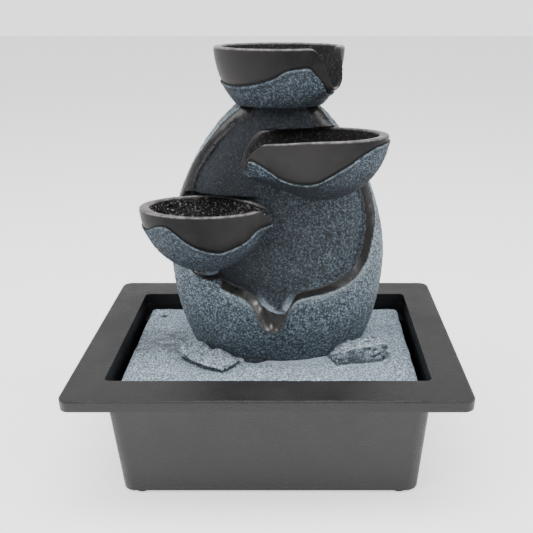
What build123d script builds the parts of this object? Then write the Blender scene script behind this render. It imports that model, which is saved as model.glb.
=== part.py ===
from build123d import *
import math
import os

# Tabletop water fountain: a rectangular basin with a wide rim, a stone plate resting
# in it, and a hollow egg-shaped sculpture on the plate that carries three pouring bowls.
# A small submersible pump under the plate drives water up a hose to the top bowl.
# Millimetres.  +Z is up, -Y is the front, and the origin is on the table top under the
# middle of the basin.

# ---- driving dimensions: basin ----
RIM_LENGTH = 225.0          # rim, outside, along X
RIM_DEPTH = 156.0           # rim, outside, along Y
RIM_TOP = 81.4              # height of the rim's top face above the table
RIM_WIDTH = 20.5            # flat width of the rim
RIM_THICK = 2.4
LIP_DROP = 6.9              # height of the rim's down-turned outer lip
RIM_CORNER = 6.0
RIM_EDGE = 1.3              # rounding of the rim's outer top edge
WALL = 2.2
WALL_DRAFT = 0.045          # sideways slope of the basin wall, mm per mm of height
WALL_CORNER = 8.0
BASE_BOTTOM = 2.0           # underside of the basin floor
FLOOR_THICK = 2.5
FOOT_R = 5.0
FOOT_SINK = 1.0             # how far a foot is let into the floor
FOOT_X = 80.0
FOOT_Y = 49.0
GROMMET_X = 62.0
GROMMET_Z = 66.0
GROMMET_R = 4.5

# ---- driving dimensions: plate and rocks ----
PLATE_GAP = 4.3             # gap between the plate and the basin's opening
PLATE_TOP = 72.1
PLATE_THICK = 5.0
POST_SIZE = 14.0            # corner and side posts that the plate rests on
ROCK_HEIGHT = 9.5
ACCESS_X = 36.0             # half sizes of the oval opening under the sculpture
ACCESS_Y = 16.0
SLOT_COUNT = 7              # drain slots along the back of the plate
SLOT_PITCH = 18.0
SLOT_Y = 47.5

# ---- driving dimensions: sculpture body, an egg with a flatter back ----
BODY_X = 4.0
BODY_Y = 14.5
BODY_WIDEST_Z = 130.0
BODY_HALF_WIDTH = 65.3
BODY_TOP = 223.0
CROWN_HEIGHT = 104.0        # from the widest level up to where the full egg would close
FOOT_DEPTH = 103.0          # from the widest level down to where the full egg would close
LEAN_FROM_Z = 150.0         # above this height the egg leans towards +X
LEAN = 2.5                  # sideways lean at the top
HOLLOW_TOP = 196.0
FRONT_RATIO = 0.65          # depth of the front half over the half width
BACK_RATIO = 0.50
RECESS_SHARE = 0.29         # depth of the scooped front as a share of the front half's depth
SHELL = 6.0                 # wall of the hollow casting

# ---- driving dimensions: bowls ----
BOWL_WALL = 3.6
LIP_WALL = 2.2
LIP_ROOT_R = 10.0
LIP_TIP_R = 4.5

# ---- driving dimensions: water path and pump ----
PIPE_X = 6.0                # the hose, the pump outlet and the top inlet share one axis
PIPE_Y = 13.0
HOSE_R = 5.0
HOSE_BORE = 3.55
NOZZLE_R = 3.5
NOZZLE_BORE = 2.4
FIT_GAP = 0.05              # radial clearance of a part that turns or slides
ROTOR_Z = 32.0              # height of the pump's rotor axis
PUMP_HALF = 16.0            # half width of the pump
PUMP_BOTTOM = 9.0
PUMP_TOP = 49.0
PUMP_WALL = 1.5

FLOOR_TOP = BASE_BOTTOM + FLOOR_THICK
OPEN_X = RIM_LENGTH / 2 - RIM_WIDTH
OPEN_Y = RIM_DEPTH / 2 - RIM_WIDTH
PLATE_BOTTOM = PLATE_TOP - PLATE_THICK
HALF_PLATE_X = OPEN_X - PLATE_GAP
HALF_PLATE_Y = OPEN_Y - PLATE_GAP


def block(low, high):
    """Box between two corners."""
    size = [h - l for l, h in zip(low, high)]
    return Pos(*low) * Box(*size, align=(Align.MIN, Align.MIN, Align.MIN))


def rod(start, axis, radius, length):
    """Cylinder from a point along the X, Y or Z axis."""
    turn = {"X": Rot(0, 90, 0), "Y": Rot(-90, 0, 0), "Z": Rot(0, 0, 0)}[axis]
    low = (Align.CENTER, Align.CENTER, Align.MIN)
    return Pos(*start) * turn * Cylinder(radius, length, align=low)


def save(shape, name):
    """Write one sub-part."""
    export_step(shape, f"parts/{name}.step")


# ---------------------------------------------------------------- basin
def tub(half_x, half_y, z_low, z_high, corner):
    """Drafted rectangular block; the half sizes are those at the basin's opening."""
    def section(z):
        shrink = WALL_DRAFT * (RIM_TOP - z)
        outline = RectangleRounded(2 * (half_x - shrink), 2 * (half_y - shrink), corner)
        return Pos(0, 0, z) * outline
    return loft([section(z_low), section(z_high)], ruled=True)


def foot_places():
    return [(sx * FOOT_X, sy * FOOT_Y) for sx in (-1, 1) for sy in (-1, 1)]


def basin():
    rim_low = RIM_TOP - RIM_THICK
    outer = tub(OPEN_X + WALL, OPEN_Y + WALL, BASE_BOTTOM, rim_low, WALL_CORNER)
    inner = tub(OPEN_X, OPEN_Y, FLOOR_TOP, RIM_TOP, WALL_CORNER - WALL)
    inner_box = block((-OPEN_X, -OPEN_Y, FLOOR_TOP), (OPEN_X, OPEN_Y, PLATE_BOTTOM))

    slab_face = RectangleRounded(RIM_LENGTH, RIM_DEPTH, RIM_CORNER)
    slab = Pos(0, 0, RIM_TOP - LIP_DROP) * extrude(slab_face, LIP_DROP)
    slab = fillet(slab.edges().group_by(Axis.Z)[-1], RIM_EDGE)
    hollow_face = RectangleRounded(RIM_LENGTH - 2 * RIM_THICK, RIM_DEPTH - 2 * RIM_THICK, 4)
    hollow = Pos(0, 0, RIM_TOP - LIP_DROP) * extrude(hollow_face, LIP_DROP - RIM_THICK)
    mouth = Pos(0, 0, RIM_TOP - LIP_DROP) * extrude(
        RectangleRounded(2 * OPEN_X, 2 * OPEN_Y, 3.0), LIP_DROP)
    shell = (slab - hollow) + outer - inner - mouth

    post_height = PLATE_BOTTOM - FLOOR_TOP
    posts = []
    for sx in (-1, 1):
        for sy in (-1, 1):
            post = Box(2 * POST_SIZE, 2 * POST_SIZE, post_height)
            posts.append(Pos(sx * OPEN_X, sy * OPEN_Y, FLOOR_TOP + post_height / 2) * post)
    for sy in (-1, 1):
        rib = Box(6, 2 * POST_SIZE, post_height)
        posts.append(Pos(0, sy * OPEN_Y, FLOOR_TOP + post_height / 2) * rib)
    for post in posts:
        shell += post & inner & inner_box

    for x, y in foot_places():
        shell -= rod((x, y, BASE_BOTTOM), "Z", FOOT_R, FOOT_SINK)
    shell -= rod((GROMMET_X, OPEN_Y - 6, GROMMET_Z), "Y", GROMMET_R, 12)
    return shell


def rubber_feet():
    feet = []
    for x, y in foot_places():
        foot = rod((x, y, 0), "Z", FOOT_R, BASE_BOTTOM + FOOT_SINK)
        feet.append(fillet(foot.edges().group_by(Axis.Z)[0], 0.8))
    return Compound(children=feet)


def cord_grommet(basin_shell):
    """Split rubber ring in the rear wall that the pump's lead would pass through."""
    wall_y = OPEN_Y - WALL_DRAFT * (RIM_TOP - GROMMET_Z)
    ring = rod((GROMMET_X, wall_y - 1.5, GROMMET_Z), "Y", GROMMET_R, WALL + 3.0)
    ring += rod((GROMMET_X, wall_y - 1.5, GROMMET_Z), "Y", GROMMET_R + 1.6, 1.5)
    ring += rod((GROMMET_X, wall_y + WALL, GROMMET_Z), "Y", GROMMET_R + 1.6, 1.5)
    ring -= rod((GROMMET_X, wall_y - 4, GROMMET_Z), "Y", 2.3, WALL + 8)
    return (ring - basin_shell).solids().sort_by(SortBy.VOLUME)[-1]


# ---------------------------------------------------------------- sculpture body
def egg_half_width(z):
    """Half width of the egg at a height: an ellipse below, a more pointed curve above."""
    rise = z - BODY_WIDEST_Z
    if rise > 0:
        return BODY_HALF_WIDTH * (1 - (rise / CROWN_HEIGHT) ** 1.8) ** 0.65
    return BODY_HALF_WIDTH * math.sqrt(1 - (rise / FOOT_DEPTH) ** 2)


def egg_center_x(z):
    """Middle of the egg at a height; the upper part leans a little to the right."""
    above = max(0.0, z - LEAN_FROM_Z) / (BODY_TOP - LEAN_FROM_Z)
    return BODY_X + LEAN * above ** 2


def egg_section(z, side, front, back, scoop):
    """Closed egg outline at one height, moved in from the surface by three distances."""
    a = egg_half_width(z)
    half = a - side
    ahead = a * FRONT_RATIO * (1 - scoop) - front
    behind = a * BACK_RATIO - back
    place = (egg_center_x(z), BODY_Y)
    rear = EllipticalCenterArc(place, half, behind, start_angle=0, arc_size=180)
    nose = EllipticalCenterArc(place, half, ahead, start_angle=180, arc_size=180)
    return Pos(0, 0, z) * make_face([rear, nose])


def egg(z_low, z_high, side=0.0, front=0.0, back=0.0, scoop=0.0, steps=7):
    heights = [z_low + (z_high - z_low) * k / (steps - 1) for k in range(steps)]
    return loft([egg_section(z, side, front, back, scoop) for z in heights])


def recess_outline():
    """Edge of the scooped front: up both sides to the neck, a V at the bottom."""
    left = [(-9, 226), (-26, 204), (-43, 181), (-46, 158), (-40, 138), (-23, 127), (-12, 122)]
    right = [(18, 121), (36, 126), (52, 138), (56, 152), (53, 176), (42, 200), (27, 226)]
    return [Spline(*left), Polyline(left[-1], (2.5, 104), right[0]), Spline(*right),
            Line(right[-1], left[0])]


def drip_spout():
    """V-shaped lip at the bottom of the scooped front."""
    outline = Polyline((-13, 120), (-4, 98), (2.5, 94), (8, 98), (19, 120), close=True)
    lip = extrude(Plane.XZ * make_face(outline), 34)
    lip = lip & block((-20, -34, 90), (25, -14, 121))
    channel = Polyline((-9, 121), (2.5, 103), (15, 121), close=True)
    groove = extrude(Plane.XZ * make_face(channel), 40)
    slope = Polyline((-40, 90), (-40, 120), (-29, 90), close=True)
    under = extrude(Plane.YZ * make_face(slope), 60, both=True)
    return lip - under, groove & block((-20, -40, 90), (25, -16, 125))


def sculpture_body(seats):
    base = egg(PLATE_TOP, BODY_TOP)
    floor = egg(PLATE_TOP, BODY_TOP, side=SHELL, scoop=RECESS_SHARE)
    window = extrude(Plane.XZ * make_face(recess_outline()), 80)
    window = Pos(0, 20, 0) * window
    lip, groove = drip_spout()
    body = (base - (window - floor)) + lip - groove
    body -= egg(PLATE_TOP, HOLLOW_TOP, SHELL + 4, SHELL, SHELL, RECESS_SHARE, 5)
    body -= rod((PIPE_X, PIPE_Y, 180), "Z", HOSE_R + 0.3, BODY_TOP - 180)
    for seat in seats:
        body -= seat
    return body.solids().sort_by(SortBy.VOLUME)[-1]


# ---------------------------------------------------------------- bowls
def bowl_solid(center, half_x, half_y, depth, cut, shrink=0.0):
    """Lower part of an ellipsoid, from its rim down to a flat at the depth given by cut."""
    x, y, z = center
    sections = []
    steps = 6
    for k in range(steps):
        drop = cut * math.sin(math.pi / 2 * k / (steps - 1))
        share = math.sqrt(max(0.0, 1 - (drop / depth) ** 2))
        oval = Ellipse(half_x * share - shrink, half_y * share - shrink)
        sections.append(Pos(x, y, z - drop) * oval)
    return loft(sections)


def pour_lip(root, tip, root_r, tip_r, wall):
    """Tapered lip that pours, as an outer solid and the groove inside it."""
    path = Vector(*tip) - Vector(*root)

    def cone(start_r, end_r, lift):
        low = Plane(origin=(root[0], root[1], root[2] + lift), z_dir=path)
        high = Plane(origin=(tip[0], tip[1], tip[2] + lift), z_dir=path)
        return loft([low * Circle(start_r), high * Circle(end_r)])

    return cone(root_r, tip_r, 0.0), cone(root_r - wall, tip_r * 0.6, tip_r * 0.9)


def bowl(center, half_x, half_y, depth, cut, lip_root, lip_tip):
    """Oval bowl with a pouring lip: the piece itself and its filled outer shape."""
    outer = bowl_solid(center, half_x, half_y, depth, cut)
    rim = (center[0], center[1], center[2] + 0.2)
    inner = bowl_solid(rim, half_x, half_y, depth - BOWL_WALL, cut - BOWL_WALL - 1, BOWL_WALL)
    lip, groove = pour_lip(lip_root, lip_tip, LIP_ROOT_R, LIP_TIP_R, LIP_WALL)
    above = block((-120, -120, center[2]), (120, 120, center[2] + 40))
    filled = outer + (lip - above)
    piece = filled - inner - groove
    return piece.solids().sort_by(SortBy.VOLUME)[-1], filled


TOP_BOWL = dict(center=(6.5, 10.0, 253.4), half_x=36.2, half_y=24.0, depth=41.5,
                cut=253.4 - BODY_TOP, lip_root=(24, 0, 247), lip_tip=(36, -4, 237))
RIGHT_BOWL = dict(center=(29.5, -12.0, 209.6), half_x=37.0, half_y=21.0, depth=36.5,
                  cut=35.0, lip_root=(2, -15, 202), lip_tip=(-11, -18, 195))
LEFT_BOWL = dict(center=(-37.0, -16.5, 170.5), half_x=36.8, half_y=21.5, depth=41.0,
                 cut=39.4, lip_root=(-9, -17, 163), lip_tip=(3, -18, 162))


# ---------------------------------------------------------------- plate and rocks
def stone_plate():
    face = RectangleRounded(2 * HALF_PLATE_X, 2 * HALF_PLATE_Y, 4.0)
    plate = Pos(0, 0, PLATE_BOTTOM) * extrude(face, PLATE_THICK)
    plate = chamfer(plate.edges().group_by(Axis.Z)[-1], 0.8)
    access = extrude(Ellipse(ACCESS_X, ACCESS_Y), PLATE_THICK)
    plate -= Pos(BODY_X, BODY_Y, PLATE_BOTTOM) * access
    slot = extrude(SlotOverall(11, 3), PLATE_THICK)
    for k in range(SLOT_COUNT):
        x = SLOT_PITCH * (k - (SLOT_COUNT - 1) / 2)
        plate -= Pos(x, SLOT_Y, PLATE_BOTTOM) * slot
    return plate


def rock(outline, height, shrink, lean):
    """Chunky stone: an irregular outline that steps in to a smaller top."""
    cx = sum(p[0] for p in outline) / len(outline)
    cy = sum(p[1] for p in outline) / len(outline)

    def ring(scale, z, dx):
        points = [(cx + (x - cx) * scale + dx, cy + (y - cy) * scale) for x, y in outline]
        return Pos(0, 0, z) * make_face(Polyline(*points, close=True))

    levels = [(0.90, 0.0, 0.0), (1.0, 0.35, 0.0), (0.93, 0.7, lean / 2), (shrink, 1.0, lean)]
    faces = [ring(s, PLATE_TOP + height * h, dx) for s, h, dx in levels]
    return loft(faces, ruled=True)


LEFT_ROCK = [(-59, -17), (-56, -3), (-42, 3), (-30, -5), (-19, -17), (-19, -26), (-30, -34),
             (-41, -27), (-52, -26)]
RIGHT_ROCK = [(40, -16), (46, -5), (58, 0), (69, -4), (74, -13), (70, -22), (57, -27), (45, -25)]


# ---------------------------------------------------------------- water path
def hose():
    low = 50.0
    high = BODY_TOP + 4.0
    tube = rod((PIPE_X, PIPE_Y, low), "Z", HOSE_R, high - low)
    return tube - rod((PIPE_X, PIPE_Y, low), "Z", HOSE_BORE, high - low)


def inlet_fitting(floor_z):
    stem = rod((PIPE_X, PIPE_Y, BODY_TOP - 9), "Z", HOSE_BORE, floor_z - BODY_TOP + 9)
    flange = rod((PIPE_X, PIPE_Y, floor_z), "Z", 7.0, 2.0)
    flange = chamfer(flange.edges().group_by(Axis.Z)[-1], 0.6)
    collar = rod((PIPE_X, PIPE_Y, floor_z + 2), "Z", 3.6, 4.0)
    bore = rod((PIPE_X, PIPE_Y, BODY_TOP - 9), "Z", NOZZLE_BORE, 40)
    return stem + flange + collar - bore


# ---------------------------------------------------------------- pump
# The pump's parts are placed by the rotor axis, which runs along X through the chamber.
FACE_X = PIPE_X - 7.0       # front of the pump chamber
CHAMBER_LEN = 12.0
HOUSING_X = FACE_X + CHAMBER_LEN
HOUSING_LEN = 25.0
HOUSING_END = HOUSING_X + HOUSING_LEN
CHAMBER_R = 12.0
SEAL_OUTER = 14.8
SEAL_INNER = 13.0
SEAL_THICK = 1.3
WELL_R = 7.5
WELL_END = HOUSING_X + 20.0
MAGNET_R = 7.0
SHAFT_R = 1.25
SHAFT_LEN = 29.0
SPIN_BORE = SHAFT_R + FIT_GAP
NOZZLE_TOP = 62.0
LEAD_Z = 44.0               # height of the pump's rubber gland
GLAND_R = 3.0


def along(x, radius, length):
    """Cylinder on the rotor axis, from a distance behind the chamber's front."""
    return rod((FACE_X + x, PIPE_Y, ROTOR_Z), "X", radius, length)


def pump_block(x_low, x_high, inset, z_low, z_high):
    return block((x_low, PIPE_Y - PUMP_HALF + inset, z_low),
                 (x_high, PIPE_Y + PUMP_HALF - inset, z_high))


def cup_places():
    return [(HOUSING_X + 5 + 15 * i, PIPE_Y + 9 * j) for i in (0, 1) for j in (-1, 1)]


def well_outside():
    return along(CHAMBER_LEN, WELL_R + 1.0, WELL_END + 1.5 - HOUSING_X)


def pump_housing():
    case = pump_block(HOUSING_X, HOUSING_END, 0, PUMP_BOTTOM, PUMP_TOP)
    case = fillet(case.edges().filter_by(Axis.X), 3.0)
    case -= pump_block(HOUSING_X + 2, HOUSING_END, PUMP_WALL, PUMP_BOTTOM + PUMP_WALL,
                       PUMP_TOP - PUMP_WALL)
    case += well_outside()
    case -= along(CHAMBER_LEN, WELL_R, WELL_END - HOUSING_X)
    for x, y in cup_places():
        case -= rod((x, y, PUMP_BOTTOM), "Z", 1.5, 1.0)
    return case


def stator_core():
    """Stack of steel plates in a U, its two legs on either side of the rotor well."""
    x_low = HOUSING_X + 5
    x_high = HOUSING_X + 19
    legs = [block((x_low, PIPE_Y + s, 13.5), (x_high, PIPE_Y + s + 4.5, 41.0))
            for s in (-13.4, 8.9)]
    yoke = block((x_low, PIPE_Y - 13.4, 13.5), (x_high, PIPE_Y + 13.4, 17.5))
    return legs[0] + legs[1] + yoke


def stator_coil():
    outside = block((HOUSING_X + 3, PIPE_Y - 7.5, 11.2), (HOUSING_X + 21, PIPE_Y + 7.5, 19.8))
    outside = fillet(outside.edges().filter_by(Axis.Y), 1.2)
    return outside - stator_core()


def pump_gland():
    """Rubber bush in the back of the pump where the lead would enter."""
    gland = rod((HOUSING_END - 4, PIPE_Y, LEAD_Z), "X", GLAND_R, 4.0)
    gland += rod((HOUSING_END, PIPE_Y, LEAD_Z), "X", GLAND_R + 0.4, 5.0)
    gland = chamfer(gland.edges().group_by(Axis.X)[-1], 0.6)
    return gland - rod((HOUSING_END - 2, PIPE_Y, LEAD_Z), "X", 1.8, 8)


def pump_potting():
    fill = pump_block(HOUSING_X + 2, HOUSING_END - 0.6, PUMP_WALL, PUMP_BOTTOM + PUMP_WALL,
                      PUMP_TOP - PUMP_WALL)
    fill -= well_outside()
    fill -= stator_core() + stator_coil()
    return fill - rod((HOUSING_END - 4, PIPE_Y, LEAD_Z), "X", GLAND_R, 5.0)


def chamber_cover():
    case = pump_block(FACE_X, HOUSING_X, 0, ROTOR_Z - 16, PUMP_TOP)
    case = fillet(case.edges().filter_by(Axis.X), 3.0)
    nozzle_low = ROTOR_Z + CHAMBER_R - 1
    case += rod((PIPE_X, PIPE_Y, nozzle_low), "Z", NOZZLE_R, NOZZLE_TOP - nozzle_low)
    case -= along(2, CHAMBER_R, CHAMBER_LEN - 2)
    case -= rod((PIPE_X, PIPE_Y, nozzle_low - 1), "Z", NOZZLE_BORE, 30)
    case -= chamber_seal()
    eye = along(0, 6.5, 2)
    eye -= along(0, 3.4, 2)
    for turn in (0, 120, 240):
        arm = Pos(0, 0, 4.5) * Box(2, 1.4, 5)
        eye -= Pos(FACE_X + 1, PIPE_Y, ROTOR_Z) * Rot(turn, 0, 0) * arm
    case -= eye
    case += along(1, 3.4, 2.2)
    return case - along(1, 2.2, 3)


def chamber_seal():
    ring = along(CHAMBER_LEN - SEAL_THICK, SEAL_OUTER, SEAL_THICK)
    return ring - along(CHAMBER_LEN - SEAL_THICK, SEAL_INNER, SEAL_THICK)


def rotor_shaft():
    return along(2, SHAFT_R, SHAFT_LEN)


def front_bush():
    return along(1, 2.2, 3) - rotor_shaft()


def rear_bush():
    return along(SHAFT_LEN + 1, 2.5, 2) - rotor_shaft()


def rotor_magnet():
    magnet = along(13, MAGNET_R, 16.5)
    magnet = chamfer(magnet.edges().filter_by(GeomType.CIRCLE), 0.4)
    return magnet - along(12, SPIN_BORE, 20)


def impeller():
    wheel = along(4.2, 3.0, 8.8)
    wheel += along(9.8, 10.6, 1.4)
    for k in range(6):
        blade = Pos(0, 0, 6.2) * Box(5.6, 1.2, 8.4)
        place = Pos(FACE_X + 7.0, PIPE_Y, ROTOR_Z) * Rot(60 * k, 0, 0)
        wheel += place * blade
    return wheel - along(4, SPIN_BORE, 12)


COVER_HALF = 15.0
COVER_LEN = 10.0
COVER_WALL = 1.5
SLIDER_LOW = 30.0
SLIDER_HIGH = 38.0
SLIDER_HALF = 6.0
SLIDER_THICK = 1.2


def intake_cover():
    front = FACE_X - COVER_LEN
    low = ROTOR_Z - COVER_HALF
    high = ROTOR_Z + COVER_HALF
    case = block((front, PIPE_Y - COVER_HALF, low), (FACE_X, PIPE_Y + COVER_HALF, high))
    case = fillet(case.edges().filter_by(Axis.X), 2.5)
    case -= block((front + COVER_WALL, PIPE_Y - COVER_HALF + COVER_WALL, low + COVER_WALL),
                  (FACE_X, PIPE_Y + COVER_HALF - COVER_WALL, high - COVER_WALL))
    for k in range(5):
        y = PIPE_Y - 9 + 4.5 * k
        case -= block((front - 1, y - 1, low + 3), (front + 3, y + 1, low + 10))
    for side in (-1, 1):
        for k in range(3):
            x = front + 3 + 2.4 * k
            y = PIPE_Y + side * COVER_HALF
            case -= block((x - 0.6, y - 3, low + 6), (x + 0.6, y + 3, high - 6))
    case -= block((front - 1, PIPE_Y - 4, SLIDER_LOW + 1), (front + 3, PIPE_Y + 4, SLIDER_HIGH - 1))
    inner = SLIDER_HALF + 2 * FIT_GAP
    depth = SLIDER_THICK + 2 * FIT_GAP
    for side in (-1, 1):
        near = sorted((side * inner, side * (inner + 1.4)))
        hook = sorted((side * (inner - 1), side * (inner + 1.4)))
        case += block((front - depth - 1, PIPE_Y + near[0], SLIDER_LOW - 1),
                      (front, PIPE_Y + near[1], high - 1))
        case += block((front - depth - 1, PIPE_Y + hook[0], SLIDER_LOW - 1),
                      (front - depth, PIPE_Y + hook[1], high - 1))
    case += block((front - depth, PIPE_Y - inner, SLIDER_LOW - 1),
                  (front, PIPE_Y + inner, SLIDER_LOW))
    return case


def flow_slider():
    """Small gate in front of the intake window, pushed up to let less water in."""
    back = FACE_X - COVER_LEN - FIT_GAP
    gate = block((back - SLIDER_THICK, PIPE_Y - SLIDER_HALF, SLIDER_LOW),
                 (back, PIPE_Y + SLIDER_HALF, SLIDER_HIGH))
    knob = block((back - SLIDER_THICK - 2.5, PIPE_Y - 3, SLIDER_LOW + 3),
                 (back - SLIDER_THICK, PIPE_Y + 3, SLIDER_LOW + 5))
    return gate + knob


def suction_cups():
    cups = []
    for x, y in cup_places():
        profile = Polyline((0, 1.4), (3.2, 0.9), (5.2, 0), (5.2, 0.6), (3.4, 2.4), (1.8, 3.2),
                           (1.8, 4.5), (1.5, 4.5), (1.5, 5.5), (0, 5.5), close=True)
        cup = revolve(Plane.XZ * make_face(profile), Axis.Z)
        cups.append(Pos(x, y, FLOOR_TOP) * cup)
    return Compound(children=cups)


# ---------------------------------------------------------------- build
def main():
    os.makedirs("parts", exist_ok=True)

    tub_shell = basin()
    save(tub_shell, "basin")
    save(rubber_feet(), "rubber_feet")
    save(cord_grommet(tub_shell), "cord_grommet")

    top, _ = bowl(**TOP_BOWL)
    right, right_seat = bowl(**RIGHT_BOWL)
    left, left_seat = bowl(**LEFT_BOWL)
    bowl_floor = TOP_BOWL["center"][2] + 0.2 - (TOP_BOWL["cut"] - BOWL_WALL - 1)
    top -= rod((PIPE_X, PIPE_Y, BODY_TOP), "Z", HOSE_R, 4.0)
    top -= rod((PIPE_X, PIPE_Y, BODY_TOP), "Z", HOSE_BORE, 20)
    body = sculpture_body([right_seat, left_seat])
    save(body, "sculpture_body")
    save(top, "top_bowl")
    save(right - left, "right_bowl")
    save(left, "left_bowl")
    save(stone_plate(), "stone_plate")
    save(rock(LEFT_ROCK, ROCK_HEIGHT, 0.62, -2.0) - body, "rock_left")
    save(rock(RIGHT_ROCK, ROCK_HEIGHT + 1.0, 0.55, 2.0) - body, "rock_right")
    save(hose(), "hose")
    save(inlet_fitting(bowl_floor), "inlet_fitting")

    save(pump_housing(), "pump_housing")
    save(stator_core(), "stator_core")
    save(stator_coil(), "stator_coil")
    save(pump_potting(), "pump_potting")
    save(pump_gland(), "pump_gland")
    save(chamber_cover(), "chamber_cover")
    save(chamber_seal(), "chamber_seal")
    save(rotor_shaft(), "rotor_shaft")
    save(front_bush(), "front_bush")
    save(rear_bush(), "rear_bush")
    save(rotor_magnet(), "rotor_magnet")
    save(impeller(), "impeller")
    save(intake_cover(), "intake_cover")
    save(flow_slider(), "flow_slider")
    save(suction_cups(), "suction_cups")


main()
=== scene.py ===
import math

import bpy
import numpy as np
from mathutils import Euler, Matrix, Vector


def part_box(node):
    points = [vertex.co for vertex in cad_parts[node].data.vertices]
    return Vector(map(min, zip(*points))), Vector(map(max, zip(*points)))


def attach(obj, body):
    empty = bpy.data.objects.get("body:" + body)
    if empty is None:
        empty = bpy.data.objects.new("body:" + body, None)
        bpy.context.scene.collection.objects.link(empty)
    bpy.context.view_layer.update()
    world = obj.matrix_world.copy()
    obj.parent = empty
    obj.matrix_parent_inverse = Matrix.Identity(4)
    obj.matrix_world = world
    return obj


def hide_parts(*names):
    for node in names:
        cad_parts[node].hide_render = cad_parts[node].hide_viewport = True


# Tabletop water fountain.  Cast pieces (body, bowls, stones, plate) are made as solid
# fields in millimetres, turned into meshes, and placed in metres in the CAD's own frame.
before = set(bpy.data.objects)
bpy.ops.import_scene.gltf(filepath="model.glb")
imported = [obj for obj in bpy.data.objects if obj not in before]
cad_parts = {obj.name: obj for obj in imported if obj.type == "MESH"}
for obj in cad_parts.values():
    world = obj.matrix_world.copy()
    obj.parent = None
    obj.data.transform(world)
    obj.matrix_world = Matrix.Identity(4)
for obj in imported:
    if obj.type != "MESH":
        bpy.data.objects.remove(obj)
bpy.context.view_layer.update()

MM = 0.001

# ---- places read from the CAD model, in millimetres ----
PLATE_LOW, PLATE_HIGH = [np.array(c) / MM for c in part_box("stone_plate")]
PLATE_TOP = PLATE_HIGH[2]
BASIN_HIGH = np.array(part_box("basin")[1]) / MM
RIM_WIDTH = 20.5            # flat rim, from its outer edge to the opening
OPEN_X, OPEN_Y = BASIN_HIGH[:2] - RIM_WIDTH
RIM_TOP = BASIN_HIGH[2]
WALL_DRAFT = 0.045          # sideways slope of the basin wall

# ---- sculpture body: an egg with a flatter back, scooped out in front; in millimetres ----
BODY_X = 4.0
BODY_Y = 14.5
WIDEST_Z = 130.0
HALF_WIDTH = 65.9
BODY_TOP = 223.0            # the top bowl stands here
CROWN_POWER = 1.8           # higher: a fuller shoulder under a narrower crown
CROWN_ROUND = 0.65
CROWN_HEIGHT = 104.0        # from the widest level up to where the full egg would close
FOOT_DEPTH = 103.0          # from the widest level down to where the full egg would close
LEAN_FROM_Z = 150.0
LEAN = 0.8                  # sideways lean at the top
FRONT_RATIO = 0.65
BACK_RATIO = 0.50
BAND_DEPTH = 6.5            # depth of the smooth cut edge where it meets the scooped floor
FLOOR_STEP = 2.2            # further step from the cut edge down to the textured floor
SPOUT_REACH = 5.5           # how far the pouring V stands out in front of the egg
SPOUT_X = 2.4
SEAM_Z = 118.3              # faint mould seam on the left
LEDGE = (-36.0, -18.2, 132.2)   # small pale shelf under the left bowl
NOTCH = (-34.0, -22.5, 127.8)   # black slot under that shelf
SLIT = (6.3, -22.0, 110.2)      # water outlet above the pouring V
TAB = (-9.4, -19.0, PLATE_TOP)  # foot tab in front of the body

# ---- plate and feet ----
PLATE_CORNER = 4.0
PLATE_OPENING = (36, 16)    # half sizes of the hole under the hollow body
PIT = (-76.9, 41.8)         # small pit in the plate's surface
DRAIN_SLOTS = 7
DRAIN_PITCH = 18.0
DRAIN_Y = 47.5
DRAIN_HALF = 4.0            # half length of a slot's straight part
DRAIN_R = 1.5
FOOT_X = 78.5
FOOT_Y = 50.6
FOOT_R = 6.0

# ---- spacing of the grids that the pieces are meshed on ----
BODY_GRID = 0.95
BOWL_GRID = 0.52
STONE_GRID = 0.6
PLATE_GRID = 1.1
FOOT_GRID = 0.5

# ---- camera: metres, degrees and shares of the picture's width ----
CAMERA_PLACE = (0.0170, -0.3740, 0.2829)
CAMERA_DOWN = 24.27
CAMERA_LENS = 44.83
CAMERA_SHIFT = (-0.0598, 0.0347)


# ================ solid fields
def smooth_min(a, b, k):
    """The smaller of two distances, with a fillet of about k where they meet."""
    h = np.clip(0.5 + 0.5 * (b - a) / k, 0, 1)
    return b * (1 - h) + a * h - k * h * (1 - h)


def smooth_max(a, b, k):
    return -smooth_min(-a, -b, k)


def ramp(x, low, high):
    """0 below low, 1 above high, smooth between."""
    t = np.clip((x - low) / (high - low), 0, 1)
    return t * t * (3 - 2 * t)


def ellipsoid(x, y, z, center, radii):
    """Approximate distance to an ellipsoid."""
    p = [(v - c) / r for v, c, r in zip((x, y, z), center, radii)]
    k0 = np.sqrt(p[0] ** 2 + p[1] ** 2 + p[2] ** 2) + 1e-9
    k1 = np.sqrt(sum((q / r) ** 2 for q, r in zip(p, radii))) + 1e-9
    return k0 * (k0 - 1) / k1


def lattice_noise(x, y, z, size, seed):
    """Smooth random values between -1 and 1, with features of about the given size."""
    n = 32
    values = np.random.default_rng(seed).uniform(-1, 1, (n, n, n))
    total = 0.0
    cell = []
    part = []
    for v in (x, y, z):
        s = np.asarray(v) / size
        low = np.floor(s).astype(int)
        f = s - low
        cell.append(low)
        part.append(f * f * (3 - 2 * f))
    for i in (0, 1):
        wx = part[0] if i else 1 - part[0]
        for j in (0, 1):
            wy = part[1] if j else 1 - part[1]
            for k in (0, 1):
                wz = part[2] if k else 1 - part[2]
                total = total + wx * wy * wz * values[
                    (cell[0] + i) % n, (cell[1] + j) % n, (cell[2] + k) % n]
    return total


def grit(x, y, z, size, seed):
    """Two octaves of noise for a cast stone surface."""
    fine = lattice_noise(x, y, z, size, seed)
    finer = lattice_noise(x + 7.3, y - 2.1, z + 4.7, size * 0.55, seed + 1)
    return 0.65 * fine + 0.35 * finer


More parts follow.
